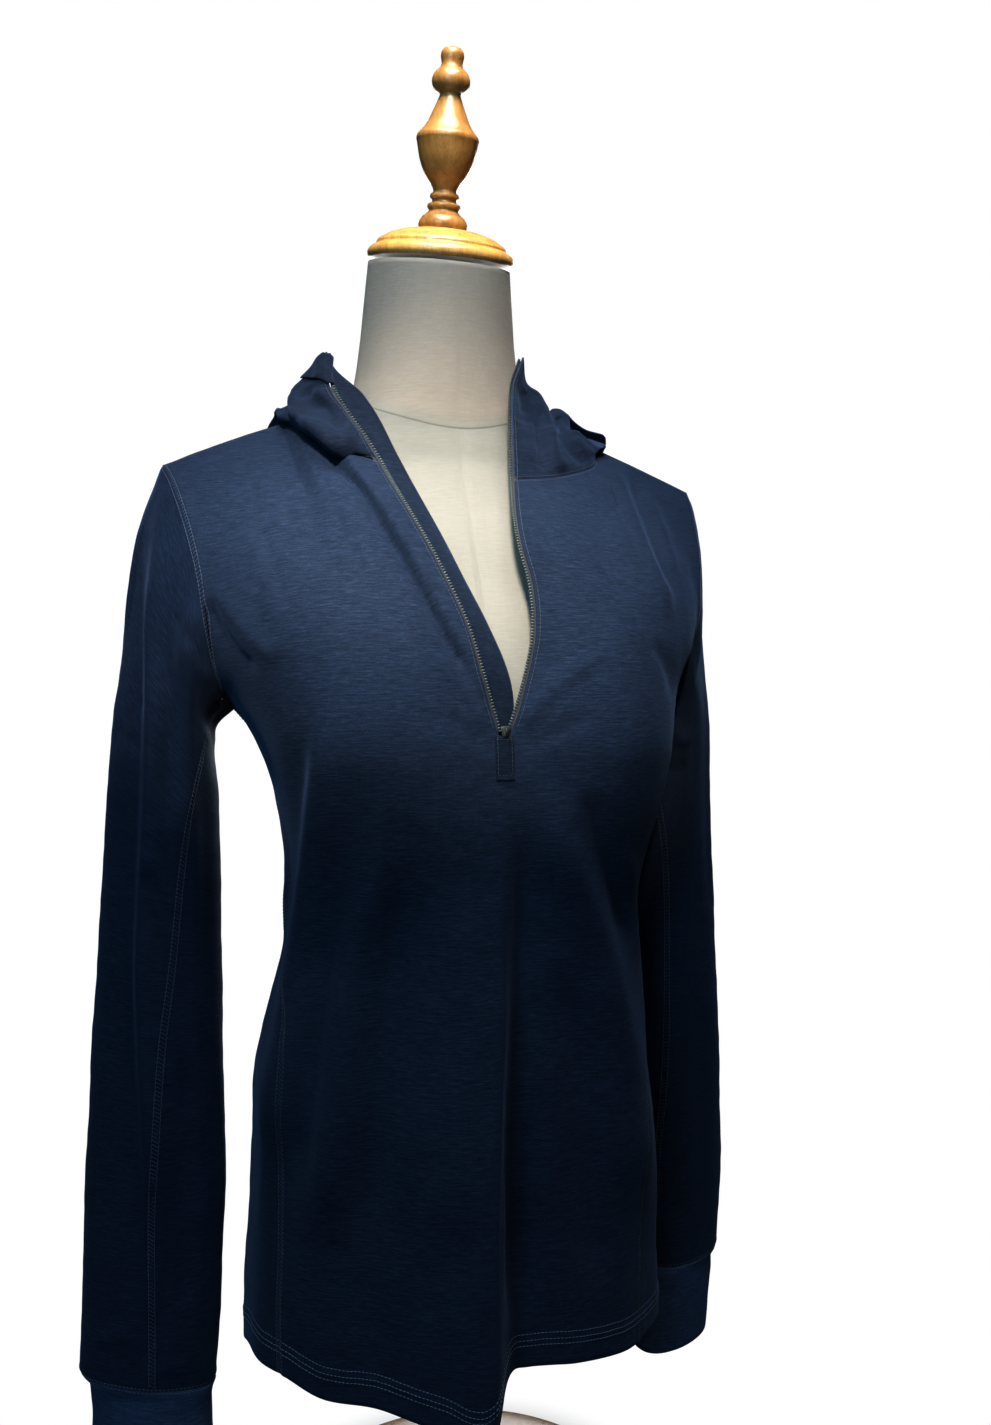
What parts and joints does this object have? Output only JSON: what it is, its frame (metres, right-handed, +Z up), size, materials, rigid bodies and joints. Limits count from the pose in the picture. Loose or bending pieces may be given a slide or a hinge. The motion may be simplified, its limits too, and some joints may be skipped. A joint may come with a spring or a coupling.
{
  "type": "pullover hoodie with a half zip, on a limbless dress form",
  "caption": "Close-fitting knitted pullover with a half zip and a thrown-back hood, standing on a linen-covered dress form with a turned wooden cap and a round base.",
  "frame": {"origin": "centre of the round base's flat underside, on the surface it stands on", "axes": "+Z up, the wearer faces -Y, +X is the wearer's left"},
  "size_m": [0.4579, 0.31, 1.0176],
  "materials": {
    "navy_knit": "matt fine jersey knit, faintly heathered navy",
    "navy_side_knit": "matt fine jersey knit, navy",
    "navy_cuff_knit": "matt fine jersey knit, navy, self-fabric cuff",
    "navy_facing": "matt fine jersey knit, navy, single layer behind the zip",
    "zip_chain": "woven zip tape with a fine grey coil",
    "zip_slider_metal": "grey lacquered metal",
    "linen": "slubby plain-weave linen stretched over the form",
    "turned_wood": "golden, satin lacquer, lathe turned",
    "pole_metal": "brushed",
    "base_wood": "golden, satin lacquer, lathe turned"
  },
  "bodies": {
    "root": {"front_body": "navy_knit", "back_body": "navy_knit", "side_panel_right": "navy_side_knit", "side_panel_left": "navy_side_knit", "sleeve_right": "navy_knit", "sleeve_left": "navy_knit", "cuff_right": "navy_cuff_knit", "cuff_left": "navy_cuff_knit", "hood_right": "navy_knit", "hood_left": "navy_knit", "zip_chain_right": "zip_chain", "zip_chain_left": "zip_chain", "zip_facing": "navy_facing", "zip_slider": "zip_slider_metal", "zip_end_tab": "navy_facing", "form_torso": "linen", "form_cap": "turned_wood", "form_finial": "turned_wood", "form_pole": "pole_metal", "form_base": "base_wood"}
  },
  "joints": []
}
